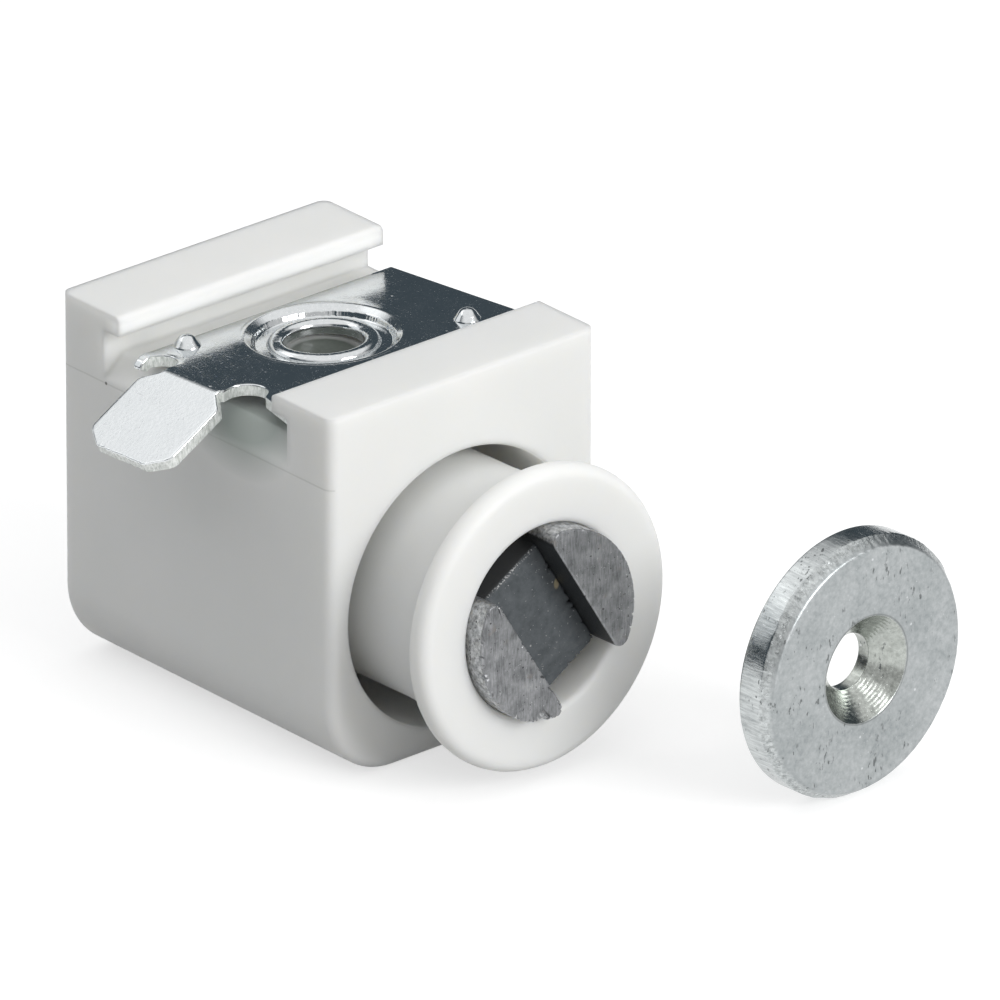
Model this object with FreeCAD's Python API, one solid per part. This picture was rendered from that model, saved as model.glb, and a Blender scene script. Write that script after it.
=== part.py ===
import FreeCAD, Part
import math
import os

from FreeCAD import Placement, Rotation, Vector

os.makedirs("parts", exist_ok=True)

# Housing block, mm. Its front face looks along -Y and its base lies level.
HOUSING_W = 25.0
HOUSING_D = 30.0
CORNER_R = 6.0
EDGE_R = 0.8
RAIL_W = 6.5
RAIL_EDGE_R = 0.4
LIP_T = 1.45
LIP_OVERHANG = 1.7
SLOT_H = 2.25
SCOOP_DROP = 1.6
SCOOP_RUN = 1.8

# Plunger bore in the housing, with the walls under, over and behind it, mm
BORE_R = 10.75
BASE_WALL = 1.5
ROOF_WALL = 2.3
BACK_WALL = 3.0
BORE_LEAD_R = 0.2

# Mounting plate: thickness, place and lean in the slot, mm and degrees
PLATE_T = 0.9
PLATE_LEAN = 3.0
DISH_X = 0.1
DISH_Y = 0.57
PLATE_BELOW_RAILS = 2.13
BACK_EDGE_GAP = 3.28
FRONT_EDGE_GAP = 0.32
PLATE_RIGHT_BACK = 11.85
PLATE_RIGHT_FRONT = 13.1
BACK_SHOULDER_X = 11.75
FRONT_CORNER_X = 10.7
FRONT_CORNER_DROP = 1.42
FRONT_SHOULDER_X = 11.9
CREASE_X = 12.3
BACK_NOTCH_X = 11.8
BACK_SHOULDER_W = 0.82
BACK_NOTCH_R = 1.25
FRONT_NOTCH_X = 11.25
FRONT_SHOULDER_W = 4.2
FRONT_NOTCH_R = 1.6

# Tongue of the mounting plate, measured along its own bent sheet, mm and degrees
TONGUE_BEND = 28.4
TONGUE_L = 7.6
TONGUE_HALF_W = 4.45
NECK_L = 1.1
TONGUE_CHAMFER_L = 1.4
TONGUE_CHAMFER_W = 1.9
HORN_BEND = 65.0
HORN_L = 0.3

# Dished screw hole of the plate, mm
DISH_R = 5.95
DISH_WALL_R = 5.2
DISH_FLOOR_R = 3.9
COLLAR_R = 3.35
PLATE_HOLE_R = 2.93
DISH_DEPTH = 0.5
DISH_SHEET_T = 0.7
COLLAR_DEPTH = 0.35

# Guide pips of the plate, mm
PIP_MID_X = 0.35
PIP_X = 8.75
PIP_EDGE = 1.05
PIP_R = 1.0
PIP_TOP_R = 0.6
PIP_CONE_H = 0.55
PIP_DOME_H = 0.3

# Magnet holder, a flanged plunger that leans a little in its bore, mm and degrees
HOLDER_LEAN = 1.4
STROKE = 6.3
STROKE_REST_GAP = 0.7
FLANGE_R = 11.6
FLANGE_T = 2.0
FLANGE_ROUND = 0.9
TUBE_FRONT_R = 9.4
TUBE_R = 9.05
MAGNET_BORE_R = 7.3
MAGNET_BORE_L = 10.0
BORE_LIP_ROUND = 0.5
ROUND_CUTS = 3
PARTITION_T = 2.0
SPRING_BORE_R = 7.0
COLLAR_LEN = 3.0
TUBE_BEHIND_FACE = 14.0
GUIDE_GAP = 0.1

# Magnet and steel poles, mm and degrees
PACK_TURN = 31.0
MAGNET_T = 6.0
MAGNET_W = 11.6
MAGNET_RECESS = 2.6
POLE_OUT = 1.4
POLE_GAP = 0.03
POLE_CORNER_R = 0.9

# Return spring and retaining wire, mm
SPRING_MEAN_R = 5.3
SPRING_WIRE_R = 0.4
SPRING_TURNS = 4
WIRE_SIDES = 5
SPRING_END_GAP = 0.3
WIRE_R = 0.6
WIRE_LINE_R = 10.0
WIRE_BEND_R = 0.9
WIRE_TIP_Y = 12.0
WIRE_TIP_R = 7.7
WIRE_IN_WALL = 1.6
SLOT_SIDE_GAP = 0.3
SLOT_END_GAP = 0.5

# Strike disc, mm and degrees. It stands on its rim in front of the housing.
STRIKE_R = 10.0
STRIKE_T = 3.0
STRIKE_CHAMFER_W = 0.67
STRIKE_CHAMFER_L = 0.9
STRIKE_BACK_CHAMFER = 0.2
STRIKE_HOLE_R = 2.15
STRIKE_SINK_R = 4.1
STRIKE_X = 15.8
STRIKE_OUT = 25.8
STRIKE_TURN = 3.4

FRONT_Y = -HOUSING_D / 2
BORE_Z = BASE_WALL + BORE_R
SLOT_FLOOR_Z = BORE_Z + BORE_R + ROOF_WALL
HOUSING_H = SLOT_FLOOR_Z + SLOT_H + LIP_T
LIP_Y = HOUSING_D / 2 - RAIL_W
SLOT_WALL_Y = LIP_Y + LIP_OVERHANG
PLATE_BACK = SLOT_WALL_Y - BACK_EDGE_GAP - DISH_Y
PLATE_FRONT = SLOT_WALL_Y - FRONT_EDGE_GAP + DISH_Y
BACK_NOTCH_Y = PLATE_BACK - BACK_SHOULDER_W - BACK_NOTCH_R
FRONT_NOTCH_Y = PLATE_FRONT - FRONT_SHOULDER_W - FRONT_NOTCH_R
PIP_Y = PLATE_BACK - PIP_EDGE
NECK_BACK = BACK_NOTCH_Y - BACK_NOTCH_R
NECK_FRONT = FRONT_NOTCH_Y - FRONT_NOTCH_R
NECK_HALF_W = (NECK_BACK + NECK_FRONT) / 2
TONGUE_MID_Y = (NECK_BACK - NECK_FRONT) / 2
FLANGE_BACK_Y = FRONT_Y - STROKE - STROKE_REST_GAP
FLANGE_FRONT_Y = FLANGE_BACK_Y - FLANGE_T
MAGNET_SEAT_Y = FLANGE_FRONT_Y + MAGNET_BORE_L
SPRING_SEAT_Y = MAGNET_SEAT_Y + PARTITION_T
HOLDER_END_Y = FRONT_Y + TUBE_BEHIND_FACE
BORE_END_Y = HOUSING_D / 2 - BACK_WALL
COLLAR_OUT_R = BORE_R - GUIDE_GAP
OVER = 5.0
PLATE_PLACE = Placement(
    Vector(DISH_X, DISH_Y, HOUSING_H - PLATE_BELOW_RAILS),
    Rotation(Vector(1, 0, 0), -PLATE_LEAN),
)
ORIGIN = PLATE_PLACE.multVec(Vector(0, 0, -COLLAR_DEPTH))


def ring_about_y(profile, z):
    """Solid of revolution about a line along Y from (radius, y) corners."""
    corners = [Vector(r, y, z) for r, y in profile]
    wire = Part.makePolygon(corners + [corners[0]])
    return Part.Face(wire).revolve(Vector(0, 0, z), Vector(0, 1, 0), 360)


def prism_xz(points, y0, depth):
    """Prism along Y from (x, z) corners."""
    corners = [Vector(x, y0, z) for x, z in points]
    wire = Part.makePolygon(corners + [corners[0]])
    return Part.Face(wire).extrude(Vector(0, depth, 0))


def prism_xy(points, z0, height):
    """Prism along Z from (x, y) corners."""
    corners = [Vector(x, y, z0) for x, y in points]
    wire = Part.makePolygon(corners + [corners[0]])
    return Part.Face(wire).extrude(Vector(0, 0, height))


def box(x0, x1, y0, y1, z0, z1):
    return Part.makeBox(x1 - x0, y1 - y0, z1 - z0, Vector(x0, y0, z0))


def cylinder_y(radius, y0, y1, x, z):
    return Part.makeCylinder(radius, y1 - y0, Vector(x, y0, z), Vector(0, 1, 0))


def edges_where(shape, test):
    return [e for e in shape.Edges if test(e)]


def housing_block():
    """Block with two large lower corners and a softly rounded front and back outline."""
    half_w = HOUSING_W / 2
    half_d = HOUSING_D / 2
    block = box(-half_w, half_w, -half_d, half_d, 0, HOUSING_H)
    low = edges_where(
        block,
        lambda e: e.BoundBox.ZMax < RAIL_EDGE_R and e.BoundBox.YLength > half_d,
    )
    block = block.makeFillet(CORNER_R, low)
    outline = edges_where(
        block,
        lambda e: e.BoundBox.YLength < RAIL_EDGE_R and e.BoundBox.ZMin < HOUSING_H - CORNER_R,
    )
    return block.makeFillet(EDGE_R, outline)


def housing_slot():
    """Channel between the rails and the wider space under their lips."""
    half_w = HOUSING_W / 2 + OVER
    lip_z = HOUSING_H - LIP_T
    mouth = box(-half_w, half_w, -LIP_Y, LIP_Y, SLOT_FLOOR_Z, HOUSING_H + OVER)
    wide = box(-half_w, half_w, -SLOT_WALL_Y, SLOT_WALL_Y, SLOT_FLOOR_Z, lip_z)
    left = -HOUSING_W / 2
    slope = SCOOP_DROP / SCOOP_RUN
    scoop = prism_xz(
        [
            (left - OVER, SLOT_FLOOR_Z - SCOOP_DROP - OVER * slope),
            (left + SCOOP_RUN + LIP_T / slope, SLOT_FLOOR_Z + LIP_T),
            (left - OVER, SLOT_FLOOR_Z + LIP_T),
        ],
        -SLOT_WALL_Y,
        2 * SLOT_WALL_Y,
    )
    return mouth.fuse([wide, scoop])


def housing():
    """Moulded block with the plate slot on top and the plunger bore in front."""
    body = housing_block().cut(housing_slot())
    rims = edges_where(
        body,
        lambda e: e.BoundBox.ZMin > HOUSING_H - RAIL_EDGE_R / 2
        and e.BoundBox.XLength > HOUSING_W / 2
        and abs(abs(e.CenterOfMass.y) - LIP_Y) < RAIL_EDGE_R,
    )
    body = body.makeFillet(RAIL_EDGE_R, rims)
    bore = cylinder_y(BORE_R, FRONT_Y - OVER, BORE_END_Y, 0, BORE_Z)
    lead = ring_about_y(
        [
            (BORE_R - BORE_LEAD_R, FRONT_Y - BORE_LEAD_R),
            (BORE_R + 2 * BORE_LEAD_R, FRONT_Y - BORE_LEAD_R),
            (BORE_R, FRONT_Y + BORE_LEAD_R),
            (BORE_R - BORE_LEAD_R, FRONT_Y + BORE_LEAD_R),
        ],
        BORE_Z,
    )
    wire_hole = cylinder_y(WIRE_R, BORE_END_Y - WIRE_R, BORE_END_Y + WIRE_IN_WALL, 0, BORE_Z - WIRE_LINE_R)
    return body.cut([bore, lead, wire_hole])


def ring_about_z(profile):
    """Solid of revolution about the local Z axis from (radius, z) corners."""
    corners = [Vector(r, 0, z) for r, z in profile]
    wire = Part.makePolygon(corners + [corners[0]])
    return Part.Face(wire).revolve(Vector(0, 0, 0), Vector(0, 0, 1), 360)


def dish(thickness):
    """Dished ring with a raised collar round the screw hole, about the local Z axis."""
    upper = [
        (PLATE_HOLE_R, -COLLAR_DEPTH),
        (COLLAR_R, -COLLAR_DEPTH),
        (DISH_FLOOR_R, -DISH_DEPTH),
        (DISH_WALL_R, -DISH_DEPTH),
        (DISH_R, 0),
    ]
    lower = [
        (DISH_R, -thickness),
        (DISH_WALL_R, -DISH_SHEET_T - DISH_DEPTH),
        (PLATE_HOLE_R, -DISH_SHEET_T - DISH_DEPTH),
    ]
    return ring_about_z(upper + lower)


def bent_down(outline, half_w, bend):
    """Flat outline turned down about the line x = 0, round on the outer side of the bend."""
    foot = Vector(0, 0, -PLATE_T)
    across = Vector(0, 1, 0)
    sheet = prism_xy(outline, -PLATE_T, PLATE_T)
    sheet.rotate(foot, across, -bend)
    corners = [(-half_w, -PLATE_T), (half_w, -PLATE_T), (half_w, 0), (-half_w, 0), (-half_w, -PLATE_T)]
    section = Part.Face(Part.makePolygon([Vector(0, y, z) for y, z in corners]))
    return sheet.fuse(section.revolve(foot, across, -bend))


def tongue():
    """Wide tongue on a narrow neck, bent down at the crease."""
    side = TONGUE_HALF_W - TONGUE_CHAMFER_W
    flat = TONGUE_L - TONGUE_CHAMFER_L
    outline = [
        (0, NECK_HALF_W),
        (-NECK_L, TONGUE_HALF_W),
        (-flat, TONGUE_HALF_W),
        (-TONGUE_L, side),
        (-TONGUE_L, -side),
        (-flat, -TONGUE_HALF_W),
        (-NECK_L, -TONGUE_HALF_W),
        (0, -NECK_HALF_W),
    ]
    whole = bent_down(outline, NECK_HALF_W, TONGUE_BEND)
    whole.translate(Vector(-CREASE_X, TONGUE_MID_Y, 0))
    return whole


def horn():
    """End of the back shoulder, turned down beside the tongue."""
    half = BACK_SHOULDER_W / 2
    outline = [(0, half), (-HORN_L, half), (-HORN_L, -half), (0, -half)]
    whole = bent_down(outline, half, HORN_BEND)
    whole.translate(Vector(-BACK_SHOULDER_X, PLATE_BACK - half, 0))
    return whole


def pip(x, y):
    """Pressed guide pip: a short cone with a low crown."""
    root_z = -PLATE_T / 4
    root_r = PIP_R - root_z * (PIP_R - PIP_TOP_R) / PIP_CONE_H
    crown = [(PIP_TOP_R * k, PIP_CONE_H + PIP_DOME_H * (1 - k * k)) for k in (1, 1 / 2, 0)]
    whole = ring_about_z([(0, root_z), (root_r, root_z)] + crown)
    whole.translate(Vector(x, y, 0))
    return whole


def mounting_plate():
    """Sheet steel plate with a dished screw hole, two pips, two notches, a bent tongue and a horn."""
    outline = [
        (PLATE_RIGHT_BACK, PLATE_BACK),
        (-BACK_SHOULDER_X, PLATE_BACK),
        (-BACK_SHOULDER_X, BACK_NOTCH_Y),
        (-CREASE_X, NECK_BACK),
        (-CREASE_X, -NECK_FRONT),
        (-FRONT_NOTCH_X, -FRONT_NOTCH_Y),
        (-FRONT_CORNER_X, -FRONT_NOTCH_Y - FRONT_CORNER_DROP),
        (-FRONT_SHOULDER_X, -PLATE_FRONT),
        (PLATE_RIGHT_FRONT, -PLATE_FRONT),
    ]
    sheet = prism_xy(outline, -PLATE_T, PLATE_T)
    notches = [
        Part.makeCylinder(BACK_NOTCH_R, 4 * PLATE_T, Vector(-BACK_NOTCH_X, BACK_NOTCH_Y, -2 * PLATE_T)),
        Part.makeCylinder(FRONT_NOTCH_R, 4 * PLATE_T, Vector(-FRONT_NOTCH_X, -FRONT_NOTCH_Y, -2 * PLATE_T)),
        Part.makeCylinder(DISH_R, 4 * PLATE_T, Vector(0, 0, -2 * PLATE_T)),
    ]
    sheet = sheet.cut(notches)
    pips = [pip(PIP_MID_X - PIP_X, PIP_Y), pip(PIP_MID_X + PIP_X, -PIP_Y)]
    plate = sheet.fuse([dish(PLATE_T), tongue(), horn()] + pips).removeSplitter()
    plate.Placement = PLATE_PLACE
    return plate


def rounded_corner(r, y, round_r, out_r, out_y):
    """Short straight cuts that round a corner of a turned profile; out_r and out_y are the sides it juts to."""
    centre_r = r - out_r * round_r
    centre_y = y - out_y * round_r
    turns = [math.radians(90 * i / ROUND_CUTS) for i in range(ROUND_CUTS + 1)]
    return [
        (centre_r + out_r * round_r * math.sin(a), centre_y + out_y * round_r * math.cos(a))
        for a in turns
    ]


def magnet_holder():
    """Flanged tube, open in front for the magnet and behind for the spring, with a guide collar."""
    collar_y = HOLDER_END_Y - COLLAR_LEN
    mouth = rounded_corner(MAGNET_BORE_R, FLANGE_FRONT_Y, BORE_LIP_ROUND, -1, -1)
    front_rim = rounded_corner(FLANGE_R, FLANGE_FRONT_Y, FLANGE_ROUND, 1, -1)
    back_rim = rounded_corner(FLANGE_R, FLANGE_BACK_Y, FLANGE_ROUND, 1, 1)
    body = ring_about_y(
        mouth[::-1]
        + front_rim
        + back_rim[::-1]
        + [
            (TUBE_FRONT_R, FLANGE_BACK_Y),
            (TUBE_R, FRONT_Y),
            (TUBE_R, collar_y),
            (COLLAR_OUT_R, collar_y),
            (COLLAR_OUT_R, HOLDER_END_Y),
            (SPRING_BORE_R, HOLDER_END_Y),
            (SPRING_BORE_R, SPRING_SEAT_Y),
            (0, SPRING_SEAT_Y),
            (0, MAGNET_SEAT_Y),
            (MAGNET_BORE_R, MAGNET_SEAT_Y),
        ],
        BORE_Z,
    )
    half = WIRE_R + SLOT_SIDE_GAP
    slot_back = FRONT_Y + WIRE_TIP_Y + WIRE_R + SLOT_END_GAP
    slot_front = FRONT_Y + WIRE_TIP_Y - WIRE_R - SLOT_END_GAP - STROKE
    slot = box(-half, half, slot_front, slot_back, BORE_Z - TUBE_R - OVER, BORE_Z - SPRING_BORE_R + half)
    notch_top = BORE_Z - WIRE_LINE_R + WIRE_R + SLOT_SIDE_GAP
    notch = box(-half, half, collar_y - OVER, HOLDER_END_Y + OVER, BORE_Z - BORE_R - OVER, notch_top)
    return leaned(body.cut([slot, notch]))


def leaned(shape):
    """Tips the holder, or what it carries, front up about the middle of its guide collar."""
    shape.rotate(Vector(0, HOLDER_END_Y - COLLAR_LEN / 2, BORE_Z), Vector(1, 0, 0), -HOLDER_LEAN)
    return shape


def turned_pack(shape):
    """Turns a magnet or pole from level to its place in the holder."""
    shape.rotate(Vector(0, 0, 0), Vector(0, 1, 0), -PACK_TURN)
    shape.translate(Vector(0, 0, BORE_Z))
    return leaned(shape)


def magnet_block():
    """Rectangular ferrite magnet between the poles."""
    half_t = MAGNET_T / 2
    half_w = MAGNET_W / 2
    front = FLANGE_FRONT_Y - POLE_OUT + MAGNET_RECESS
    return turned_pack(box(-half_t, half_t, front, MAGNET_SEAT_Y, -half_w, half_w))


def pole(side):
    """Half-moon steel pole, flat against the magnet and round against the bore."""
    radius = MAGNET_BORE_R - POLE_GAP
    front = FLANGE_FRONT_Y - POLE_OUT
    half_t = MAGNET_T / 2
    disc = cylinder_y(radius, front, MAGNET_SEAT_Y, 0, 0)
    cutter = box(half_t, radius + OVER, front - OVER, MAGNET_SEAT_Y + OVER, -radius - OVER, radius + OVER)
    segment = disc.common(cutter)
    corners = edges_where(
        segment,
        lambda e: e.BoundBox.YLength > MAGNET_T and abs(e.CenterOfMass.x - half_t) < POLE_GAP
        and abs(e.CenterOfMass.z) > half_t,
    )
    segment = segment.makeFillet(POLE_CORNER_R, corners)
    if side < 0:
        segment.rotate(Vector(0, 0, 0), Vector(0, 1, 0), 180)
    return turned_pack(segment)


def wire_section(radius, centre, second):
    """Outline with few sides, in the plane of X and the second direction, for a thin wire's round section."""
    turns = [math.radians(360 * i / WIRE_SIDES) for i in range(WIRE_SIDES)]
    corners = [centre + Vector(radius * math.cos(a), 0, 0) + second * (radius * math.sin(a)) for a in turns]
    return Part.makePolygon(corners + [corners[0]])


def return_spring():
    """Open coil spring of half turns, between the holder's partition and the housing's back wall."""
    start = SPRING_SEAT_Y + SPRING_WIRE_R + SPRING_END_GAP
    length = BORE_END_Y - SPRING_SEAT_Y - 2 * (SPRING_WIRE_R + SPRING_END_GAP)
    count = 2 * SPRING_TURNS
    rise = length / count
    halves = []
    for i in range(count):
        side = 1 if i % 2 == 0 else -1
        begin = Vector(side * SPRING_MEAN_R, start + i * rise, BORE_Z)
        end = Vector(-side * SPRING_MEAN_R, start + (i + 1) * rise, BORE_Z)
        axis = Vector(0, 0, side).cross(end - begin)
        section = Part.Face(wire_section(SPRING_WIRE_R, begin, Vector(0, 1, 0)))
        halves.append(section.revolve((begin + end) / 2, axis, 180))
    return halves[0].fuse(halves[1:])


def retaining_wire():
    """Straight steel wire along the bore with its front end turned up into the holder's slot."""
    line_z = BORE_Z - WIRE_LINE_R
    back = BORE_END_Y + WIRE_IN_WALL
    tip_y = FRONT_Y + WIRE_TIP_Y
    tip_z = BORE_Z - WIRE_TIP_R
    bend = math.sqrt(2) / 2 * WIRE_BEND_R
    start = Vector(0, back, line_z)
    turn_in = Vector(0, tip_y + WIRE_BEND_R, line_z)
    turn_mid = Vector(0, tip_y + WIRE_BEND_R - bend, line_z + WIRE_BEND_R - bend)
    turn_out = Vector(0, tip_y, line_z + WIRE_BEND_R)
    path = Part.Wire(
        [
            Part.makeLine(start, turn_in),
            Part.Arc(turn_in, turn_mid, turn_out).toShape(),
            Part.makeLine(turn_out, Vector(0, tip_y, tip_z)),
        ]
    )
    return path.makePipeShell([wire_section(WIRE_R, start, Vector(0, 0, 1))], True, False)


def strike_disc():
    """Round steel disc with a countersunk screw hole and a bevelled front edge."""
    front = FRONT_Y - STRIKE_OUT
    back = front + STRIKE_T
    sink = STRIKE_SINK_R - STRIKE_HOLE_R
    disc = ring_about_y(
        [
            (STRIKE_SINK_R, front),
            (STRIKE_R - STRIKE_CHAMFER_W, front),
            (STRIKE_R, front + STRIKE_CHAMFER_L),
            (STRIKE_R, back - STRIKE_BACK_CHAMFER),
            (STRIKE_R - STRIKE_BACK_CHAMFER, back),
            (STRIKE_HOLE_R, back),
            (STRIKE_HOLE_R, front + sink),
        ],
        0,
    )
    disc.rotate(Vector(0, front, 0), Vector(0, 0, 1), STRIKE_TURN)
    disc.translate(Vector(STRIKE_X, 0, STRIKE_R))
    return disc


NODES = {
    "housing": housing(),
    "mounting_plate": mounting_plate(),
    "magnet_holder": magnet_holder(),
    "magnet_block": magnet_block(),
    "pole_upper": pole(1),
    "pole_lower": pole(-1),
    "return_spring": return_spring(),
    "retaining_wire": retaining_wire(),
    "strike_disc": strike_disc(),
}

for name, shape in NODES.items():
    shape.translate(-ORIGIN)
    shape.exportStep("parts/" + name + ".step")
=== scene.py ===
import math

import bpy
import numpy as np
from mathutils import Matrix, Vector

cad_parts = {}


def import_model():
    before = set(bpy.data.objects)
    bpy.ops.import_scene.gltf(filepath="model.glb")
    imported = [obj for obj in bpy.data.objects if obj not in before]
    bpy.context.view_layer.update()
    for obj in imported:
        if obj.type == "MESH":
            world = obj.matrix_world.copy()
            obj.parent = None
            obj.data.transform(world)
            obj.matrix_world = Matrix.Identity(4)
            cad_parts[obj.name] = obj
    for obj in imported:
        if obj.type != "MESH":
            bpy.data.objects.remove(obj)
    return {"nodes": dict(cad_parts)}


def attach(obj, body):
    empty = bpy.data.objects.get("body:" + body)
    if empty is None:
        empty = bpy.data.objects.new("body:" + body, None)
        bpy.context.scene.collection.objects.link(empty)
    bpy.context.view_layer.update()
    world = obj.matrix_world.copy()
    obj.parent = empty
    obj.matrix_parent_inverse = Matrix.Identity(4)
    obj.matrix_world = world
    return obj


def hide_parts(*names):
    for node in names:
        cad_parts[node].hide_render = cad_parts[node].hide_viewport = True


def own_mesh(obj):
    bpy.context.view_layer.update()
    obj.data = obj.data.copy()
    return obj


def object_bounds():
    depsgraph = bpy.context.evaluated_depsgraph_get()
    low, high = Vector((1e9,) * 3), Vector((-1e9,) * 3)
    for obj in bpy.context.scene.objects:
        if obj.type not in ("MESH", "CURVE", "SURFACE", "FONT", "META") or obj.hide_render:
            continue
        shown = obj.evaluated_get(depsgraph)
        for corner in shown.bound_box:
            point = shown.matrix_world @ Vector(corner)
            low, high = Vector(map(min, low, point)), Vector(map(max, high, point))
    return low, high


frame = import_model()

cad_low, cad_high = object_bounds()
NODES = frame["nodes"]
MM = 0.001

# Sizes shared with the solids, mm and degrees, in the housing's own axes. BASE is the place of their origin.
BASE = np.array([-0.1, -0.5517, -26.5205])
PLATE_T = 0.9
PLATE_LEAN = 3.0
COLLAR_DEPTH = 0.35
BORE_Z = 12.25
HOLDER_LEAN = 1.4
HOLDER_PIVOT_Y = -2.5
PACK_TURN = 31.0
POLE_FRONT = -25.4
MAGNET_FRONT = -22.8
SEAT_Y = -14.0
POLE_R = 7.27
MAGNET_HALF_T = 3.0
MAGNET_HALF_W = 5.8
BREAK_LINE = 4.4
COIL_R = 5.3
COIL_WIRE_R = 0.4
COIL_TURNS = 4
COIL_GAP = 0.3
COIL_SEATS = (-12.0, 12.0)
STRIKE_FRONT = -40.8
STRIKE_PLACE = np.array([15.8, 0.0, 10.0])
STRIKE_TURN = 3.4
HOLDER_PROFILE = [
    (0.4, -14.0), (7.3, -14.0), (7.3, -24.0), (11.6, -24.0), (11.6, -22.0), (9.4, -22.0), (9.05, -15.0),
    (9.05, -4.0), (10.65, -4.0), (10.65, -1.0), (7.0, -1.0), (7.0, -12.0), (0.4, -12.0),
]
HOLDER_ROUNDS = [0.0, 0.15, 0.5, 0.9, 0.9, 0.35, 0.0, 0.1, 0.15, 0.15, 0.15, 0.2, 0.0]
GROOVE_HALF_W = 0.9
GROOVE_ENDS = (-10.4, -1.9)
GROOVE_FLOOR_R = 7.1
COLLAR_FLAT_R = 8.5

# Strike disc: its profile from the hole over the countersink, the face, the bevel and the rim to the back, mm
STRIKE_R = 10.0
SINK_R = 4.1
BEVEL_DEPTH = 0.9
STRIKE_PROFILE = [
    (2.15, 3.0), (2.15, 1.95), (SINK_R, 0.0), (9.33, 0.0), (STRIKE_R, BEVEL_DEPTH), (STRIKE_R, 2.8), (9.8, 3.0),
]
STRIKE_ROUNDS = [0.06, 0.04, 0.05, 0.12, 0.1, 0.08, 0.08]

# Mounting plate, mm. A notch is the place of its centre and its radius.
PLATE_RIGHT = ((13.1, -10.45), (11.85, 6.35))
PLATE_LEFT_FRONT = (-11.9, -10.45)
BACK_NOTCH = (-11.8, 4.28, 1.25)
FRONT_NOTCH = (-11.25, -4.65, 1.6)
CREASE_X = -12.27
HORN_X = -11.674
DISH_RIM_R = 6.1
DISH_TOP = [
    (2.88, -1.15), (2.88, -0.22), (4.06, -0.22), (4.12, -0.78), (5.0, -0.78),
    (5.2, -0.3), (5.75, 0.02), (5.98, 0.02), (DISH_RIM_R, 0.0),
]
DISH_TOP_ROUNDS = [0.0, 0.5, 0.5, 0.07, 0.14, 0.12, 0.1, 0.04, 0.0]
DISH_UNDER = [(DISH_RIM_R, -PLATE_T), (5.8, -PLATE_T), (5.2, -1.2), (2.9, -1.2)]
BEND_INNER_R = 0.12
EDGE_ROLL = 0.12
EDGE_DEPTH = 0.14
EDGE_FOOT = 0.02
TONGUE_PAST = [0.0, 0.5, 0.95, 1.2, 1.5, 5.9, 6.25, 6.55, 7.1, 7.6]
TONGUE_HALF_W = [3.04, 3.62, 4.2, 4.4, 4.45, 4.45, 4.4, 4.12, 3.3, 2.55]
HORN_HALF_W = 0.41
PIP_PROFILE = [(1.04, -0.06), (1.0, 0.07), (0.66, 0.56), (0.42, 0.79), (0.06, 0.85)]
PIP_ROUNDS = [0.0, 0.05, 0.1, 0.16, 0.0]
PIP_PLACES = ((-8.4, 5.3), (9.1, -5.3))

# Places on the surfaces for the materials, metres
SEAM_DROP = 0.0031
SEAM_SPOT = (-0.0126, 0.0094, -0.0031)
TAN_SPOT = (0.0020, -0.0235, -0.01191)
STRIKE_CENTRE = (0.0157, -0.041352, -0.01652)
PACK_CENTRE = (-0.0001, -0.02595, -0.01371)
BORE_CENTRE = (-0.0001, 0.0, -0.01427)
NOTCH_SHADE = (-0.0115, -0.0052, -0.0012)
AXIS = (0.0, 0.0, 0.0)

# Colours of the finishes, and of painted light and shade
PLASTIC_SHADE, PLASTIC_LIGHT = (0.775, 0.78, 0.765), (0.80, 0.80, 0.785)
# painted light: a paler tone for the inside of the bore and the inner side of the back rail, which lie in shade
PAINTED_INSIDE_LIGHT = (0.94, 0.945, 0.915)
SEAM_GREY, SPECK_DARK = (0.45, 0.45, 0.43), (0.12, 0.12, 0.11)
# painted shade: the dark round under the screw hole and the grey corner by the front notch
PAINTED_WELL_SHADE, NOTCH_CORNER_PAINTED_SHADE = (0.07, 0.082, 0.07), (0.26, 0.31, 0.285)
ZINC_SHADE, ZINC_LIGHT, ZINC_MARK = (0.67, 0.695, 0.705), (0.735, 0.755, 0.765), (0.84, 0.85, 0.86)
SHEAR_SHADE, SHEAR_LIGHT = (0.54, 0.57, 0.54), (0.92, 0.94, 0.92)
FACE_SHADE, FACE_LIGHT, FACE_MARK = (0.31, 0.335, 0.34), (0.49, 0.51, 0.515), (0.78, 0.80, 0.81)
RIM_STREAK, BEVEL_SHADE = (0.62, 0.65, 0.65), (0.24, 0.255, 0.25)
SINK_SHADE, SINK_LIGHT, LIP_DARK = (0.35, 0.37, 0.345), (0.52, 0.545, 0.515), (0.12, 0.125, 0.12)
FACE_PIT = (0.12, 0.13, 0.13)
GROUND_SHADE, GROUND_LIGHT, GROUND_MARK = (0.125, 0.13, 0.135), (0.385, 0.39, 0.40), (0.66, 0.66, 0.66)
# painted light for the poles' round sides with flecks, painted shade for their flats towards the magnet
PAINTED_LIGHT_SIDE_DIM, PAINTED_LIGHT_SIDE_BRIGHT, INWARD_PAINTED_SHADE = (0.22, 0.225, 0.23), (0.66, 0.67, 0.68), (0.075, 0.08, 0.085)
TARNISH, POLE_PIT = (0.27, 0.225, 0.19), (0.07, 0.07, 0.075)
FERRITE_SHADE, FERRITE_LIGHT, FERRITE_SPECK = (0.055, 0.063, 0.069), (0.105, 0.116, 0.124), (0.42, 0.42, 0.42)
# the first is painted shade for the steep slope past the magnet's break line
BREAK_PAINTED_SHADE, BREAK_PALE, TAN = (0.012, 0.013, 0.014), (0.5, 0.5, 0.5), (0.36, 0.31, 0.2)
WIRE_SHADE, WIRE_LIGHT = (0.30, 0.30, 0.31), (0.52, 0.52, 0.53)


# Curves and surfaces


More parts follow.
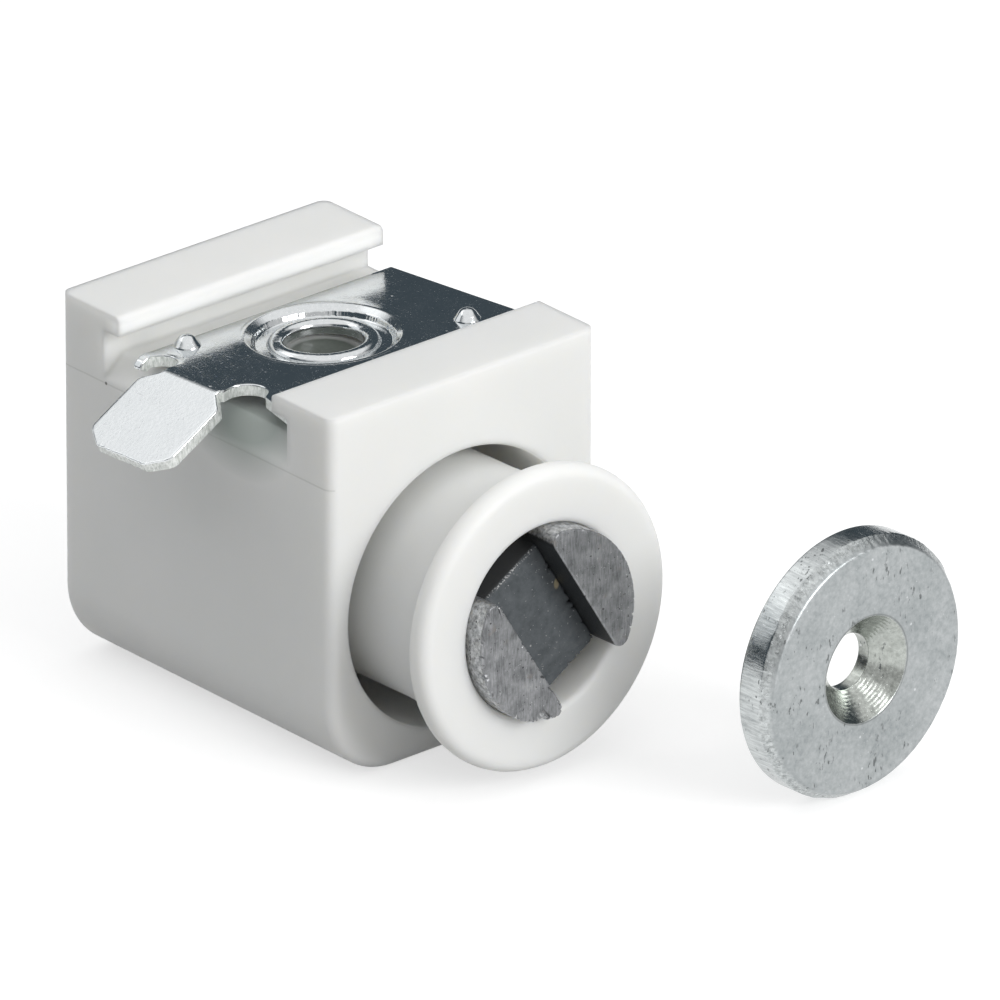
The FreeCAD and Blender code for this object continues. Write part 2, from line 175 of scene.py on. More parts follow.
def turned(points, axis, degrees, centre=(0.0, 0.0, 0.0)):
    """Points turned about a line along one axis: the other two coordinates mix by the angle's cosine and sine."""
    c, s = math.cos(math.radians(degrees)), math.sin(math.radians(degrees))
    i, j = ((1, 2), (2, 0), (0, 1))[axis]
    p = points - np.array(centre)
    q = p.copy()
    q[..., i] = c * p[..., i] - s * p[..., j]
    q[..., j] = s * p[..., i] + c * p[..., j]
    return q + np.array(centre)


def arc_corner(before, corner, after, setback, steps=6):
    """Circular arc between the points set back from a corner, swept evenly in angle about their common centre."""
    a = (before - corner) / np.linalg.norm(before - corner)
    b = (after - corner) / np.linalg.norm(after - corner)
    half = math.acos(float(np.clip(a @ b, -1.0, 1.0))) / 2.0
    mid = (a + b) / np.linalg.norm(a + b)
    centre = corner + mid * setback / math.cos(half)
    start, end = corner + a * setback - centre, corner + b * setback - centre
    sweep = math.pi - 2.0 * half
    t = np.linspace(0.0, 1.0, steps)[:, None]
    return centre + (start * np.sin((1.0 - t) * sweep) + end * np.sin(t * sweep)) / math.sin(sweep)


def softened(points, setbacks, step, closed=True):
    """Polyline with an arc on each corner and its straight runs cut into equal parts no longer than step."""
    p = np.array(points, float)
    n = len(p)
    parts = [
        arc_corner(p[i - 1], p[i], p[(i + 1) % n], setbacks[i])
        if setbacks[i] > 0.0 and (closed or 0 < i < n - 1) else p[i][None]
        for i in range(n)
    ]
    line = np.concatenate(parts + ([parts[0][:1]] if closed else []))
    keep = np.concatenate([[True], np.linalg.norm(np.diff(line, axis=0), axis=1) > 1e-6])
    line = line[keep]
    count = np.maximum(1, np.ceil(np.linalg.norm(np.diff(line, axis=0), axis=1) / step).astype(int))
    at = np.concatenate([i + np.arange(k) / k for i, k in enumerate(count)] + ([] if closed else [[len(line) - 1.0]]))
    whole = np.arange(len(line))
    return np.stack([np.interp(at, whole, line[:, 0]), np.interp(at, whole, line[:, 1])], -1)


def ripple(angle, seed, low=3, high=60, count=24):
    """Sum of sine waves with whole numbers of waves in a turn, higher ones lower, scaled to a height of about one."""
    rng = np.random.default_rng(seed)
    waves = rng.integers(low, high, count)
    phase = rng.uniform(0.0, 2.0 * math.pi, count)
    height = 1.0 / np.sqrt(waves / low)
    total = (np.sin(np.asarray(angle)[..., None] * waves + phase) * height).sum(-1)
    return total / math.sqrt((height ** 2).sum() / 2.0) / 2.0


def ease(value, low, high):
    """Zero below low, one above high, and a smooth cubic between them."""
    t = np.clip((value - low) / (high - low), 0.0, 1.0)
    return t * t * (3.0 - 2.0 * t)


def shell(grid, close_rows=False, close_columns=True, caps=False):
    """Vertices and faces of a grid of points, quads between neighbours, flat caps on its end rows, facing outwards."""
    rows, columns = grid.shape[:2]
    index = np.arange(rows * columns).reshape(rows, columns)
    down = np.roll(index, -1, axis=0)
    quads = np.stack([index, down, np.roll(down, -1, axis=1), np.roll(index, -1, axis=1)], -1)
    quads = quads[:rows if close_rows else rows - 1, :columns if close_columns else columns - 1].reshape(-1, 4)
    points = grid.reshape(-1, 3)
    a, b, c, d = (points[quads[:, k]] - points[0] for k in range(4))
    ends = [index[0], index[-1][::-1]] if caps else []
    volume = (np.cross(a, b) * c).sum() + (np.cross(a, c) * d).sum()
    for loop in ends:
        p = points[loop] - points[0]
        volume += (np.cross(p[1:-1], p[2:]) * p[0]).sum()
    faces = quads.tolist() + [loop.tolist() for loop in ends]
    return points, faces if volume > 0.0 else [f[::-1] for f in faces]


def add_piece(name, shells, material, body, nodes, sharp=32.0, cut=None):
    """Object at the origin made of closed shells, smooth but for its sharp edges, standing for CAD nodes.

    cut holds a number for each vertex, one where the surface is a sheared edge.
    """
    points, faces, base = [], [], 0
    for own_points, own_faces in shells:
        points.append(own_points)
        faces.extend([[i + base for i in face] for face in own_faces])
        base += len(own_points)
    mesh = bpy.data.meshes.new(name)
    mesh.from_pydata((np.concatenate(points) * MM).tolist(), [], faces)
    mesh.materials.append(material)
    mesh.polygons.foreach_set("use_smooth", np.ones(len(mesh.polygons), bool))
    mesh.set_sharp_from_angle(angle=math.radians(sharp))
    if cut is not None:
        cut_edge = mesh.attributes.new("cut_edge", "FLOAT", "POINT")
        cut_edge.data.foreach_set("value", np.concatenate(cut).astype(np.float32))
    mesh.update()
    obj = bpy.data.objects.new(name, mesh)
    bpy.context.scene.collection.objects.link(obj)
    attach(obj, body)
    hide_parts(*nodes)
    return obj


def level_turn(columns):
    """Even angles once round, without the last one, which is the first again."""
    return np.arange(columns) * 2.0 * math.pi / columns


def leaned(points):
    """Points of the plunger, tipped front up about the middle of its guide collar."""
    return turned(points, 0, -HOLDER_LEAN, (0.0, HOLDER_PIVOT_Y, BORE_Z)) + BASE


def packed(points):
    """Points of the magnet pack, turned from level to their place in the plunger."""
    return leaned(turned(points, 1, -PACK_TURN) + np.array([0.0, 0.0, BORE_Z]))


def seated(points):
    """Points of the plate, from its own level axes to its place in the slot."""
    return turned(points + np.array([0.0, 0.0, COLLAR_DEPTH]), 0, -PLATE_LEAN)


# Strike disc


def strike_disc(material):
    """Turned disc: a profile of radius and depth swept round its axis, its bevel edge wandering and finely fluted."""
    profile = softened(STRIKE_PROFILE, STRIKE_ROUNDS, 0.25)
    turn = level_turn(600)
    r, y = (np.repeat(profile[:, k][:, None], len(turn), 1) for k in (0, 1))
    outer = ease(r, 9.15, 9.4)
    edge = outer * np.exp(-((y - BEVEL_DEPTH) / 0.4) ** 2)
    bevel = outer * ease(y, 0.05, 0.3) * (1.0 - ease(y, 0.75, 0.95))
    y = y + edge * 0.13 * ripple(turn, 3, 2, 46)
    r = r - bevel * 0.012 * (1.0 + ripple(turn, 5, 70, 190)) - edge * 0.01 * (1.0 + ripple(turn, 7, 30, 120))
    y = y + outer * (1.0 - ease(y, 0.0, 0.25)) * 0.02 * (1.0 + ripple(turn, 9, 3, 80))
    lip = np.exp(-((r - 4.22) / 0.07) ** 2) * (y < 0.3)
    y = y + 0.02 * lip * ripple(turn, 11, 2, 30)
    r = np.minimum(r, STRIKE_R)
    y = np.maximum(y, 0.0)
    grid = np.stack([r * np.cos(turn), STRIKE_FRONT + y, r * np.sin(turn)], -1)
    grid = turned(grid, 2, STRIKE_TURN, (0.0, STRIKE_FRONT, 0.0)) + STRIKE_PLACE + BASE
    disc = shell(grid, close_rows=True)
    add_piece("strike_disc_dressed", [disc], material, "strike", ["strike_disc"])


# Magnet pack


def chipped_bar(section, front, back, round_r, seed, chip_low, chip_depth, place, heavy=None):
    """Bar of one section carried along the plunger, its front edge rounded and broken by chips.

    Rows run in from the back face, along the side, round the front edge and in over the front face by shrinking.
    A chip is where a ripple of the turn passes chip_low: the surface there moves back and in, less with distance
    from the edge. heavy gives more height, the place and the width of a worse stretch, as shares of the turn.
    """
    turn = level_turn(len(section))
    tangent = np.roll(section, -1, axis=0) - np.roll(section, 1, axis=0)
    normal = np.stack([tangent[:, 1], -tangent[:, 0]], -1) / np.linalg.norm(tangent, axis=1)[:, None]
    centre = section.mean(axis=0)
    normal *= np.sign(((section - centre) * normal).sum())
    radius = np.linalg.norm(section - centre, axis=1).mean()
    side = np.concatenate([np.geomspace(0.04, 1.0, 10), np.arange(1.3, back - front - 0.4, 0.5)])[::-1]
    arc = np.linspace(0.0, math.pi / 2.0, 6)
    cap = np.array([0.04, 0.09, 0.15, 0.22, 0.3, 0.42, 0.6, 0.9, 1.1, 1.2, 1.3, 1.4])
    far = np.concatenate([[9.0, 9.0, 9.0], side, arc * 0.0, cap])[:, None]
    inset = np.concatenate([[0.12, 0.12, 0.0], side * 0.0, round_r * (1.0 - np.cos(arc)), cap * 0.0 + round_r])
    inset = inset[:, None]
    shrink = np.concatenate([[0.4 * radius, 0.0, 0.0], side * 0.0, arc * 0.0, cap])[:, None]
    y = np.concatenate([
        [back, back, back - 0.12], front + round_r + side, front + round_r * (1.0 - np.sin(arc)), cap * 0.0 + front,
    ])[:, None]
    share = np.arange(len(section)) / len(section)
    break_off = np.clip((ripple(turn, seed, 6, 90, 40) - chip_low) / 0.6, 0.0, 1.0)
    if heavy is not None:
        more, place_of_more, width_of_more = heavy
        near = (share - place_of_more + 0.5) % 1.0 - 0.5
        more = more * np.exp(-(near / width_of_more) ** 2) * (1.0 + ripple(turn, seed + 2, 20, 90))
        break_off = np.clip(break_off + more, 0.0, 1.6)
    wear = 0.5 * (1.0 + ripple(turn, seed + 1, 20, 120, 40))
    loss = chip_depth * break_off * np.clip(1.0 - far / (0.14 + 0.45 * break_off), 0.0, 1.0)
    loss = loss + 0.025 * wear * np.clip(1.0 - far / 0.1, 0.0, 1.0)
    on_cap = (shrink > 0.0) & (far < 9.0)
    ring = section[None] - normal[None] * (inset + np.where(on_cap, 0.0, loss))[..., None]
    scale = 1.0 - (shrink + np.where(on_cap, loss, 0.0)) / radius
    flat = centre + (ring - centre) * scale[..., None]
    grid = np.stack([flat[..., 0], y + loss, flat[..., 1]], -1)
    return shell(place(grid), caps=True)


def half_moon(side):
    """Outline of a pole: an arc of the bore's round closed by a flat, with an arc on both horns."""
    half_angle = math.acos(MAGNET_HALF_T / POLE_R)
    arc = np.linspace(-half_angle, half_angle, 41)
    round_side = np.stack([POLE_R * np.cos(arc), POLE_R * np.sin(arc)], -1)
    horn = np.array([[MAGNET_HALF_T, POLE_R * math.sin(half_angle)]])
    setback = 1.3
    keep = np.linalg.norm(np.abs(round_side) - horn, axis=1) > setback + 0.15
    points = np.concatenate([horn * [1.0, -1.0], round_side[keep], horn])
    setbacks = [setback] + [0.0] * int(keep.sum()) + [setback]
    return softened(points, setbacks, 0.12) * side


def poles(material):
    """Two half-moon poles; the lower one's bottom end is broken away more."""
    upper = chipped_bar(half_moon(1.0), POLE_FRONT, SEAT_Y, 0.1, 21, 0.75, 0.12, packed)
    lower = chipped_bar(half_moon(-1.0), POLE_FRONT, SEAT_Y, 0.1, 33, 0.35, 0.18, packed, (1.2, 0.56, 0.035))
    add_piece("pole_upper_dressed", [upper], material, "plunger", ["pole_upper"])
    add_piece("pole_lower_dressed", [lower], material, "plunger", ["pole_lower"])


def magnet(material):
    """Sintered block: a rectangle with small round corners carried back from its worn front face.

    Past the break line near its upper end the face falls back along a slope: depth is the greater of both surfaces.
    """
    def broken(points):
        """Points moved back to the slope where they stand in front of it."""
        x, y, z = points[..., 0], points[..., 1], points[..., 2]
        slope = MAGNET_FRONT + 1.5 * (z - BREAK_LINE)
        return packed(np.stack([x, np.maximum(y, slope), z], -1))

    t, w = MAGNET_HALF_T, MAGNET_HALF_W
    section = softened([(t, -w), (t, w), (-t, w), (-t, -w)], [0.2] * 4, 0.15)
    block = chipped_bar(section, MAGNET_FRONT, SEAT_Y, 0.08, 45, 0.3, 0.16, broken)
    add_piece("magnet_block_dressed", [block], material, "plunger", ["magnet_block"])


# Magnet holder


def magnet_holder(material):
    """Turned moulding: a profile from the seat out over the flange, along the tube and in to the spring seat.

    The radius drops to the groove's floor where the way round lies within the groove's width below the tube.
    """
    profile = softened(HOLDER_PROFILE, HOLDER_ROUNDS, 0.45, closed=False)
    turn = level_turn(360)
    r, y = (np.repeat(profile[:, k][:, None], len(turn), 1) for k in (0, 1))
    across = r * np.cos(turn)
    below = (np.sin(turn) < 0.0) & (np.abs(across) < GROOVE_HALF_W) & (r > 8.0)
    grooved = below & (y > GROOVE_ENDS[0]) & (y < GROOVE_ENDS[1])
    r = np.where(grooved, GROOVE_FLOOR_R, np.where(below & (y >= GROOVE_ENDS[1]), COLLAR_FLAT_R, r))
    grid = np.stack([r * np.cos(turn), y, BORE_Z + r * np.sin(turn)], -1)
    holder = shell(leaned(grid), caps=True)
    add_piece("magnet_holder_dressed", [holder], material, "plunger", ["magnet_holder"])


# Return spring


def return_spring(material):
    """Open coil: a round section carried along a helix between its two seats.

    The helix turns evenly while it advances evenly; the section lies across its direction.
    """
    turn = np.linspace(0.0, 2.0 * math.pi * COIL_TURNS, 60 * COIL_TURNS + 1)
    out = np.stack([np.cos(turn), np.zeros_like(turn), np.sin(turn)], -1)
    first, last = COIL_SEATS[0] + COIL_WIRE_R + COIL_GAP, COIL_SEATS[1] - COIL_WIRE_R - COIL_GAP
    advance = np.linspace(first, last, len(turn))
    path = COIL_R * out + np.stack([0.0 * turn, advance, 0.0 * turn + BORE_Z], -1)
    along = np.gradient(path, axis=0)
    along /= np.linalg.norm(along, axis=1)[:, None]
    across = np.cross(along, out)
    section = level_turn(16)[None, :, None]
    grid = path[:, None] + COIL_WIRE_R * (np.cos(section) * out[:, None] + np.sin(section) * across[:, None]) + BASE
    coil = shell(grid, caps=True)
    spring = add_piece("return_spring_dressed", [coil], material, "housing", ["return_spring"])
    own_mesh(spring)


# Mounting plate


def notch_arc(notch, start, end):
    """Points round a notch, clockwise from the start angle to the end angle."""
    a = np.radians(np.linspace(start, end, int(abs(end - start) / 7.0) + 2))
    return np.stack([notch[0] + notch[2] * np.cos(a), notch[1] + notch[2] * np.sin(a)], -1)


def plate_outline():
    """Corners and notch points of the flat sheet, anticlockwise from the front right."""
    return np.concatenate([
        [PLATE_RIGHT[0], PLATE_RIGHT[1], (HORN_X, 6.35)],
        notch_arc(BACK_NOTCH, 84.2, -90.0),
        [(CREASE_X, 3.03), (CREASE_X, -3.05)],
        notch_arc(FRONT_NOTCH, 123.3, -70.7),
        [PLATE_LEFT_FRONT],
    ])


def reach(outline, angles):
    """Distance from the dish's centre to the outline in each direction: the nearest crossing of a ray and a side."""
    a = outline[None]
    side = np.roll(outline, -1, axis=0)[None] - a
    ray = np.stack([np.cos(angles), np.sin(angles)], -1)[:, None]
    cross = ray[..., 0] * side[..., 1] - ray[..., 1] * side[..., 0]
    cross = np.where(np.abs(cross) < 1e-9, 1e-9, cross)
    along = (a[..., 0] * side[..., 1] - a[..., 1] * side[..., 0]) / cross
    part = (a[..., 0] * ray[..., 1] - a[..., 1] * ray[..., 0]) / cross
    return np.where((along > 0.0) & (np.abs(part - 0.5) < 0.5 + 1e-6), along, 1e9).min(1)


def plate_sheet():
    """Flat sheet with its dish: a closed profile swept round the dish, whose outer rows stretch to the outline.

    Between the dish's rim and the edge the radius is a mix of the two by a share that grows from nought to one.
    """
    outline = plate_outline()
    own = np.arctan2(outline[:, 1], outline[:, 0])
    angles = np.sort(np.concatenate([level_turn(440) - math.pi, own, own - 0.0012, own + 0.0012]))
    angles = angles[np.concatenate([[True], np.diff(angles) > 0.0008])]
    out = reach(outline, angles)
    left, back = -np.cos(angles) * out, np.sin(angles) * out
    at_tongue = ease(left, -CREASE_X - 0.04, -CREASE_X)
    at_horn = ease(left, -HORN_X - 0.03, -HORN_X) * (back > 5.4)
    free = 1.0 - np.maximum(at_tongue, at_horn)
    upper = softened(DISH_TOP, DISH_TOP_ROUNDS, 0.08, closed=False)
    lower = softened(DISH_UNDER, [0.0, 0.2, 0.2, 0.0], 0.5, closed=False)
    share = np.array([0.15, 0.35, 0.55, 0.75, 0.9])
    r_up = np.repeat(upper[:, 0][:, None], len(angles), 1)
    z_up = np.repeat(upper[:, 1][:, None], len(angles), 1)
    wall = ease(z_up, -0.76, -0.6) * (1.0 - ease(z_up, -0.4, -0.22)) * (r_up > 4.6)
    r_up = r_up + 0.02 * wall * ripple(angles, 12, 25, 180, 60)
    ring = ease(r_up, 3.0, 3.2) * (1.0 - ease(r_up, 3.5, 3.8))
    z_up = z_up + 0.006 * ring * ripple(angles, 14, 3, 50)
    flat_r = DISH_RIM_R + (out - DISH_RIM_R - 0.16) * share[:, None]
    flat_z = np.zeros_like(flat_r)
    rough = ripple(angles, 15, 20, 120, 40)
    lap = np.linspace(0.0, math.pi / 2.0, 5)
    roll = 0.004 + 0.126 * free
    rim_r = out - roll * (1.0 - np.sin(lap)[:, None]) - 0.004 * free * (1.0 + rough) * np.sin(lap)[:, None]
    rim_z = -roll * (1.0 - np.cos(lap)[:, None])
    foot_r = np.stack([out - 0.008 * free * (1.0 + rough), out - 0.02 * free, out - 0.25])
    foot_z = np.repeat([[-0.6], [-0.87], [-PLATE_T]], len(out), 1)
    low_r = np.repeat(lower[:, 0][:, None], len(angles), 1)
    low_z = np.repeat(lower[:, 1][:, None], len(angles), 1)
    r = np.concatenate([r_up, flat_r, rim_r, foot_r, low_r])
    z = np.concatenate([z_up, flat_z, rim_z, foot_z, low_z])
    grid = np.stack([r * np.cos(angles), r * np.sin(angles), z], -1)
    cut = np.zeros(r.shape)
    first = len(r_up) + len(flat_r) + len(rim_r)
    cut[first - 1:first + 2] = 1.0
    return shell(seated(grid), close_rows=True), cut.reshape(-1)


def bent_strip(crease, mid, half_width, flat_length, bend, seed, edge_wear):
    """Strip turned down at a crease: a rounded-rectangle section carried along an arc and then a straight run.

    half_width is a function of the distance past the arc; the section's edges are rolled and wander a little.
    """
    outer = PLATE_T + BEND_INNER_R
    angle = math.radians(bend)
    pivot = BEND_INNER_R * math.tan(angle / 2.0)
    flat_length -= pivot
    steps = 9
    last = np.linspace(0.0, math.pi / 2.0, 6)
    run = np.concatenate([np.arange(0.08, flat_length - 0.2, 0.12), flat_length - 0.15 + 0.15 * np.sin(last)])
    arc_at = np.linspace(0.0, angle, steps)
    s = np.concatenate([arc_at * 0.0, run])
    phi = np.concatenate([arc_at, np.full(len(run), angle)])
    tip = np.concatenate([np.zeros(steps + len(run) - len(last)), 0.13 * (1.0 - np.cos(last))])
    across = np.linspace(-1.0, 1.0, 61)[1:-1]
    roll = np.linspace(0.0, math.pi / 2.0, 5)[1:-1]
    ones = np.ones(len(roll) + 2)
    round_depth = EDGE_ROLL * (1.0 - np.cos(roll))
    round_pull = EDGE_ROLL * (1.0 - np.sin(roll))
    side_depth = [EDGE_DEPTH, PLATE_T - EDGE_FOOT]
    top_t = np.concatenate([across, ones, across[::-1], -ones])
    depth = np.concatenate([
        across * 0.0, round_depth, side_depth, across * 0.0 + PLATE_T, side_depth[::-1], round_depth[::-1],
    ])
    pull = np.concatenate([across * 0.0, round_pull, [0.0, 0.0], across * 0.0, [0.0, 0.0], round_pull[::-1]])
    half = half_width(s)[:, None]
    wander = edge_wear * (1.0 + ripple(s * 0.35, seed, 5, 60))[:, None]
    t = top_t[None]
    edge = np.abs(t) > 0.999
    inside = (half - EDGE_DEPTH - tip[:, None]) * np.abs(t) / 0.975
    width = np.where(edge, half - pull - tip[:, None] - wander, inside)
    y = mid + np.sign(t) * width
    d = np.clip(depth[None], tip[:, None], PLATE_T - tip[:, None])
    near_end = ease(s, flat_length - 0.3, flat_length)[:, None]
    far = s[:, None] - edge_wear * 2.0 * (1.0 + ripple(top_t * 1.3 + 2.0, seed + 1, 4, 50)) * near_end
    radius = outer - d
    x = crease + pivot - radius * np.sin(phi)[:, None] - far * np.cos(phi)[:, None]
    z = -outer + radius * np.cos(phi)[:, None] - far * np.sin(phi)[:, None]
    cut = np.zeros(x.shape)
    cut[:, (np.abs(top_t) > 0.999) & (depth > 0.1)] = 1.0
    cut[-1] = 1.0
    return shell(seated(np.stack([x, y + 0.0 * x, z], -1)), caps=True), cut.reshape(-1)


def tongue_half(s):
    """Half width of the tongue against distance: neck, flare, parallel sides and chamfered end."""
    return np.interp(s, TONGUE_PAST, TONGUE_HALF_W)


def horn_half(s):
    """Half width of the horn: the same all along."""
    return np.full_like(s, HORN_HALF_W)


def pip(x, y):
    """Pressed button: a profile of a sloping foot, a steep side and a domed crown swept round its own axis."""
    profile = softened(PIP_PROFILE, PIP_ROUNDS, 0.05, closed=False)
    turn = level_turn(96)
    r, z = (np.repeat(profile[:, k][:, None], len(turn), 1) for k in (0, 1))
    r = r * (1.0 + 0.012 * ripple(turn, 17, 2, 9))
    return shell(seated(np.stack([x + r * np.cos(turn), y + r * np.sin(turn), z], -1)), caps=True), np.zeros(r.size)


def mounting_plate(material):
    """Pressed plate of one sheet: the dished flat, the tongue and horn bent down from it, and two pips."""
    parts = [
        plate_sheet(),
        bent_strip(-12.3, -0.01, tongue_half, TONGUE_PAST[-1], 28.4, 51, 0.015),
        bent_strip(-11.75, 5.94, horn_half, 0.3, 65.0, 61, 0.02),
        *(pip(*place) for place in PIP_PLACES),
    ]
    shells, cut = zip(*parts)
    add_piece("mounting_plate_dressed", shells, material, "plate", ["mounting_plate"], cut=cut)


# Material helpers


def new_material(name):
    """Empty material with one shader, its node tree and the shader."""
    m = bpy.data.materials.new(name)
    m.use_nodes = True
    tree = m.node_tree
    tree.nodes.clear()
    out = tree.nodes.new("ShaderNodeOutputMaterial")
    shader = tree.nodes.new("ShaderNodeBsdfPrincipled")
    tree.links.new(shader.outputs[0], out.inputs[0])
    return m, tree, shader


def coords(tree):
    """The surface's own place in the frame, metres."""
    return tree.nodes.new("ShaderNodeTexCoord").outputs["Object"]


def mapped(tree, vector, scale=(1.0, 1.0, 1.0), turn=(0.0, 0.0, 0.0), move=(0.0, 0.0, 0.0)):
    """Places scaled, then turned, in degrees, then moved."""
    n = tree.nodes.new("ShaderNodeMapping")
    n.inputs["Location"].default_value = move
    n.inputs["Rotation"].default_value = [math.radians(a) for a in turn]
    n.inputs["Scale"].default_value = scale
    tree.links.new(vector, n.inputs["Vector"])
    return n.outputs[0]


def noise(tree, vector, scale, detail=3.0, rough=0.5):
    """Cloudy field about a half, scale lumps to the metre."""
    n = tree.nodes.new("ShaderNodeTexNoise")
    n.inputs["Scale"].default_value = scale
    n.inputs["Detail"].default_value = detail
    n.inputs["Roughness"].default_value = rough
    tree.links.new(vector, n.inputs["Vector"])
    return n.outputs["Fac"]


def cells(tree, vector, scale):
    """Distance from scattered points, in cells."""
    n = tree.nodes.new("ShaderNodeTexVoronoi")
    n.inputs["Scale"].default_value = scale
    tree.links.new(vector, n.inputs["Vector"])
    return n.outputs["Distance"]


def spread(tree, value, low, high, out_low=0.0, out_high=1.0):
    """Field stretched straight from one range to another and held at its ends."""
    n = tree.nodes.new("ShaderNodeMapRange")
    n.inputs["From Min"].default_value = low
    n.inputs["From Max"].default_value = high
    n.inputs["To Min"].default_value = out_low
    n.inputs["To Max"].default_value = out_high
    tree.links.new(value, n.inputs["Value"])
    return n.outputs["Result"]


def math_node(tree, kind, a, b=0.0):
    """Two fields or numbers put together by one operation."""
    n = tree.nodes.new("ShaderNodeMath")
    n.operation = kind
    for socket, v in zip(n.inputs, (a, b)):
        if isinstance(v, (int, float)):
            socket.default_value = v
        else:
            tree.links.new(v, socket)
    return n.outputs[0]


def times(tree, a, b):
    """Product of two fields."""
    return math_node(tree, "MULTIPLY", a, b)


def plus(tree, a, b):
    """Sum of two fields."""
    return math_node(tree, "ADD", a, b)


def minus(tree, a, b):
    """First field less the second."""
    return math_node(tree, "SUBTRACT", a, b)


def larger(tree, a, b):
    """The larger of two fields."""
    return math_node(tree, "MAXIMUM", a, b)


def magnitude(tree, a):
    """A field without its sign."""
    return math_node(tree, "ABSOLUTE", a)


def apart(tree, vector):
    """The three parts of a place."""
    n = tree.nodes.new("ShaderNodeSeparateXYZ")
    tree.links.new(vector, n.inputs[0])
    return n.outputs["X"], n.outputs["Y"], n.outputs["Z"]


def distance_to(tree, vector, point, squash=(1.0, 1.0, 1.0)):
    """Length of the vector from a point, each axis first multiplied by its squash."""
    n = tree.nodes.new("ShaderNodeVectorMath")
    n.operation = "LENGTH"
    move = tuple(-p * s for p, s in zip(point, squash))
    tree.links.new(mapped(tree, vector, squash, move=move), n.inputs[0])
    return n.outputs["Value"]


def mixed(tree, factor, a, b):
    """Colour a where factor is nought and b where it is one."""
    n = tree.nodes.new("ShaderNodeMix")
    n.data_type = "RGBA"
    for key, v in (("A", a), ("B", b)):
        socket = [s for s in n.inputs if s.name == key and s.type == "RGBA"][0]
        if isinstance(v, tuple):
            socket.default_value = (*v, 1.0)
        else:
            tree.links.new(v, socket)
    tree.links.new(factor, n.inputs["Factor"])
    return [s for s in n.outputs if s.type == "RGBA"][0]


def bump(tree, shader, height, distance, strength):
    """Fine relief: the shader's normal tips with the slope of the height."""
    n = tree.nodes.new("ShaderNodeBump")
    n.inputs["Distance"].default_value = distance
    n.inputs["Strength"].default_value = strength
    tree.links.new(height, n.inputs["Height"])
    tree.links.new(n.outputs[0], shader.inputs["Normal"])
    return n


def scratches(tree, p, turn, seed_move, fineness, length, low):
    """Thin marks along one direction: noise stretched along it, kept only where it is high."""
    field = noise(tree, mapped(tree, p, (fineness, fineness / length, fineness), turn, seed_move), 1.0, 2.0, 0.6)
    return spread(tree, field, low, low + 0.05)


# Materials


def plastic(name, moulded=False):
    """Satin white moulding: faint clouds and a very fine grain.

    The housing's edges are softened by a bevel of the shading. It has the mould's parting line and one dark speck on
    the left face, painted shade as a dark round on the slot's floor under the screw hole and as a grey corner by the
    front notch, and painted light inside the bore and on the inner side of the back rail.
    """
    m, t, s = new_material(name)
    p = coords(t)
    cloud = spread(t, noise(t, p, 110.0, 2.0), 0.3, 0.7)
    fine = noise(t, p, 2600.0, 2.0)
    colour = mixed(t, cloud, PLASTIC_SHADE, PLASTIC_LIGHT)
    height = times(t, fine, 0.3)
    if moulded:
        x, y, z = apart(t, p)
        off_line = magnitude(t, plus(t, z, SEAM_DROP))
        left_face = spread(t, x, -0.0122, -0.0121, 1.0, 0.0)
        seam = times(t, spread(t, off_line, 0.00003, 0.00009, 1.0, 0.0), left_face)
        spot = spread(t, distance_to(t, p, SEAM_SPOT), 0.00008, 0.00016, 1.0, 0.0)
        # painted shade: a dark round on the slot's floor under the screw hole, where the plate's shade falls
        painted_well_shade = spread(t, distance_to(t, p, AXIS, (1.0, 1.0, 0.0)), 0.0024, 0.0034, 1.0, 0.0)
        below_plate = spread(t, z, -0.00102, -0.00112)
        above_bore = spread(t, z, -0.0020, -0.0018)
        painted_well_shade = times(t, times(t, painted_well_shade, below_plate), above_bore)
        # painted light on the inner side of the back rail, under its lip
        inner = times(t, spread(t, y, 0.0056, 0.0062), spread(t, y, 0.0085, 0.0095, 1.0, 0.0))
        inner = times(t, inner, spread(t, z, 0.0018, 0.0022, 1.0, 0.0))
        inner = times(t, inner, spread(t, z, -0.0008, 0.0))
        # painted shade in the corner under the front notch, where the plate and tongue shade the slot
        corner = spread(t, distance_to(t, p, NOTCH_SHADE, (1.0, 0.55, 0.8)), 0.0014, 0.0036, 0.75, 0.0)
        colour = mixed(t, times(t, seam, 0.35), colour, SEAM_GREY)
        colour = mixed(t, spot, colour, SPECK_DARK)
        # painted light inside the bore, behind the holder's flange
        bore = spread(t, distance_to(t, p, BORE_CENTRE, (1.0, 0.0, 1.0)), 0.01078, 0.01085, 1.0, 0.0)
        bore = times(t, bore, spread(t, y, 0.0117, 0.0119, 1.0, 0.0))
        colour = mixed(t, larger(t, inner, bore), colour, PAINTED_INSIDE_LIGHT)
        colour = mixed(t, painted_well_shade, colour, PAINTED_WELL_SHADE)
        colour = mixed(t, corner, colour, NOTCH_CORNER_PAINTED_SHADE)
        height = minus(t, height, seam)
    t.links.new(colour, s.inputs["Base Color"])
    t.links.new(spread(t, fine, 0.3, 0.7, 0.42, 0.52), s.inputs["Roughness"])
    s.inputs["Subsurface Weight"].default_value = 0.6
    s.inputs["Subsurface Radius"].default_value = (1.0, 0.95, 0.85)
    s.inputs["Subsurface Scale"].default_value = 0.0026
    s.inputs["Specular IOR Level"].default_value = 0.4
    relief = bump(t, s, height, 0.00003, 0.5)
    if moulded:
        soft = t.nodes.new("ShaderNodeBevel")
        soft.samples = 6
        soft.inputs["Radius"].default_value = 0.0007
        t.links.new(soft.outputs["Normal"], relief.inputs["Normal"])
    return m


